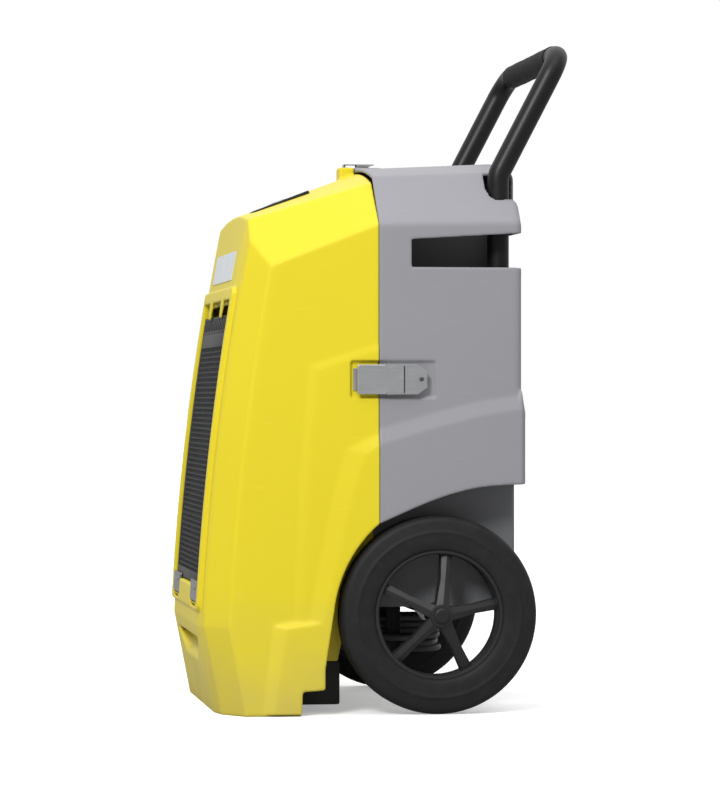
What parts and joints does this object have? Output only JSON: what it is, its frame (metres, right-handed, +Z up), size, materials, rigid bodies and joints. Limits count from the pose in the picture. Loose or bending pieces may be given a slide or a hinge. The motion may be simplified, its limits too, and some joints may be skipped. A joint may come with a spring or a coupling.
{
  "type": "dehumidifier",
  "caption": "Portable wheeled dehumidifier: moulded front shell with hinged intake grille and toggle latches, rear hood, pull-up handle, rear fan outlet and refrigeration parts inside.",
  "frame": {"origin": "on the floor, at the middle of the machine's width and of its depth with the handle down", "axes": "+Z up, the intake front looks along -Y, the wheel axle runs along X"},
  "size_m": [0.5076, 0.4878, 0.8646],
  "materials": {
    "yellow_shell": "satin moulded polyethylene, fine grain",
    "grey_shell": "satin moulded polyethylene, fine grain",
    "cabinet_paint": "powder coat, fine texture",
    "black_plastic": "moulded, semi-matt",
    "wheel_rubber": "matt rubber",
    "handle_paint": "semi-gloss powder coat",
    "foam_grip": "soft closed-cell foam",
    "grille_steel": "satin black coat on perforated sheet",
    "filter_media": "pleated fibre, grey white",
    "latch_steel": "satin stainless sheet",
    "label_film": "plain white film label",
    "panel_film": "satin printed film",
    "display_window": "polished dark window",
    "key_rubber": "satin silicone",
    "zinc_steel": "bright zinc plate",
    "coil_fins": "bare fins, fine pitch",
    "copper_pipe": "drawn copper, slightly tarnished",
    "compressor_paint": "gloss black enamel",
    "fan_plastic": "moulded, glass filled",
    "board_laminate": "solder resist, green",
    "capacitor_can": "plain drawn can",
    "tray_plastic": "moulded, dark grey",
    "cord_rubber": "matt rubber jacket",
    "strap_webbing": "woven hook-and-loop strap"
  },
  "bodies": {
    "body": {"front_housing": "yellow_shell", "rear_housing": "grey_shell", "cabinet": "cabinet_paint", "chassis_plate": "cabinet_paint", "base_foot": "black_plastic", "label_plate": "label_film", "control_panel": "panel_film", "display_window": "display_window", "latch_bases": "latch_steel", "latch_keepers": "latch_steel", "outlet_guard": "grille_steel", "outlet_collar": "black_plastic", "wheel_axle": "zinc_steel", "axle_brackets": "cabinet_paint", "axle_spacers": "black_plastic", "axle_caps": "black_plastic", "handle_guides": "black_plastic", "compressor": "compressor_paint", "compressor_mounts": "key_rubber", "accumulator": "compressor_paint", "filter_drier": "copper_pipe", "refrigerant_pipes": "copper_pipe", "evaporator_coil": "coil_fins", "condenser_coil": "coil_fins", "fan_shroud": "fan_plastic", "fan_motor": "fan_plastic", "drip_tray": "tray_plastic", "condensate_pump": "tray_plastic", "control_board": "board_laminate", "run_capacitor": "capacitor_can", "housing_screws": "zinc_steel", "cord_gland": "black_plastic", "power_cord": "cord_rubber", "cord_hank": "cord_rubber", "plug_lead": "cord_rubber", "cord_strap": "strap_webbing", "power_plug": "cord_rubber"},
    "handle": {"handle_tube": "handle_paint", "handle_grip": "foam_grip"},
    "wheel_right": {"tyre_right": "wheel_rubber", "rim_right": "black_plastic"},
    "wheel_left": {"tyre_left": "wheel_rubber", "rim_left": "black_plastic"},
    "grille": {"front_grille": "grille_steel", "air_filter": "filter_media"},
    "clip_right": {"grille_clip_right": "latch_steel"},
    "clip_left": {"grille_clip_left": "latch_steel"},
    "fan": {"fan_impeller": "fan_plastic"},
    "key_1": {"control_key_1": "key_rubber"},
    "key_2": {"control_key_2": "key_rubber"},
    "key_3": {"control_key_3": "key_rubber"},
    "key_4": {"control_key_4": "key_rubber"},
    "lever_right": {"latch_lever_right": "latch_steel"},
    "claw_right": {"latch_claw_right": "latch_steel"},
    "lever_left": {"latch_lever_left": "latch_steel"},
    "claw_left": {"latch_claw_left": "latch_steel"},
    "lever_top": {"latch_lever_top": "latch_steel"},
    "claw_top": {"latch_claw_top": "latch_steel"}
  },
  "joints": [
    {"name": "handle_slide", "type": "slide", "parent": "body", "child": "handle", "axis": [0, 0, 1], "range_m": [0, 0.15]},
    {"name": "wheel_right_spin", "type": "hinge", "parent": "body", "child": "wheel_right", "pos_m": [0.212, 0.0613, 0.127], "axis": [1, 0, 0], "continuous": true},
    {"name": "wheel_left_spin", "type": "hinge", "parent": "body", "child": "wheel_left", "pos_m": [-0.212, 0.0613, 0.127], "axis": [1, 0, 0], "continuous": true},
    {"name": "grille_hinge", "type": "hinge", "parent": "body", "child": "grille", "pos_m": [0, -0.1994, 0.5095], "axis": [-1, 0, 0], "range_deg": [0, 40]},
    {"name": "fan_spin", "type": "hinge", "parent": "body", "child": "fan", "pos_m": [0, 0.1383, 0.43], "axis": [0, 1, 0], "continuous": true},
    {"name": "clip_right_slide", "type": "slide", "parent": "grille", "child": "clip_right", "axis": [0, 0.0599, 0.9982], "range_m": [0, 0.006], "stiffness_N_per_m": 400},
    {"name": "clip_left_slide", "type": "slide", "parent": "grille", "child": "clip_left", "axis": [0, 0.0599, 0.9982], "range_m": [0, 0.006], "stiffness_N_per_m": 400},
    {"name": "key_1_press", "type": "slide", "parent": "body", "child": "key_1", "axis": [0, 0.3584, -0.9336], "range_m": [0, 0.0012], "stiffness_N_per_m": 1500},
    {"name": "key_2_press", "type": "slide", "parent": "body", "child": "key_2", "axis": [0, 0.3584, -0.9336], "range_m": [0, 0.0012], "stiffness_N_per_m": 1500},
    {"name": "key_3_press", "type": "slide", "parent": "body", "child": "key_3", "axis": [0, 0.3584, -0.9336], "range_m": [0, 0.0012], "stiffness_N_per_m": 1500},
    {"name": "key_4_press", "type": "slide", "parent": "body", "child": "key_4", "axis": [0, 0.3584, -0.9336], "range_m": [0, 0.0012], "stiffness_N_per_m": 1500},
    {"name": "lever_right_hinge", "type": "hinge", "parent": "body", "child": "lever_right", "pos_m": [0.2335, -0.0047, 0.4275], "axis": [0, 0, -1], "range_deg": [0, 90]},
    {"name": "claw_right_hinge", "type": "hinge", "parent": "lever_right", "child": "claw_right", "pos_m": [0.233, 0.0093, 0.4275], "axis": [0, 0, -1], "range_deg": [-90, 0]},
    {"name": "lever_left_hinge", "type": "hinge", "parent": "body", "child": "lever_left", "pos_m": [-0.2335, -0.0047, 0.4275], "axis": [0, 0, 1], "range_deg": [0, 90]},
    {"name": "claw_left_hinge", "type": "hinge", "parent": "lever_left", "child": "claw_left", "pos_m": [-0.233, 0.0093, 0.4275], "axis": [0, 0, 1], "range_deg": [-90, 0]},
    {"name": "lever_top_hinge", "type": "hinge", "parent": "body", "child": "lever_top", "pos_m": [0, -0.01118, 0.71376], "axis": [1, 0, 0], "range_deg": [0, 90]},
    {"name": "claw_top_hinge", "type": "hinge", "parent": "lever_top", "child": "claw_top", "pos_m": [0, -0.00474, 0.71353], "axis": [1, 0, 0], "range_deg": [-90, 0]}
  ],
  "couplings": [
    {"joint": "claw_right_hinge", "follows": "lever_right_hinge", "ratio": -1},
    {"joint": "claw_left_hinge", "follows": "lever_left_hinge", "ratio": -1},
    {"joint": "claw_top_hinge", "follows": "lever_top_hinge", "ratio": -1}
  ]
}
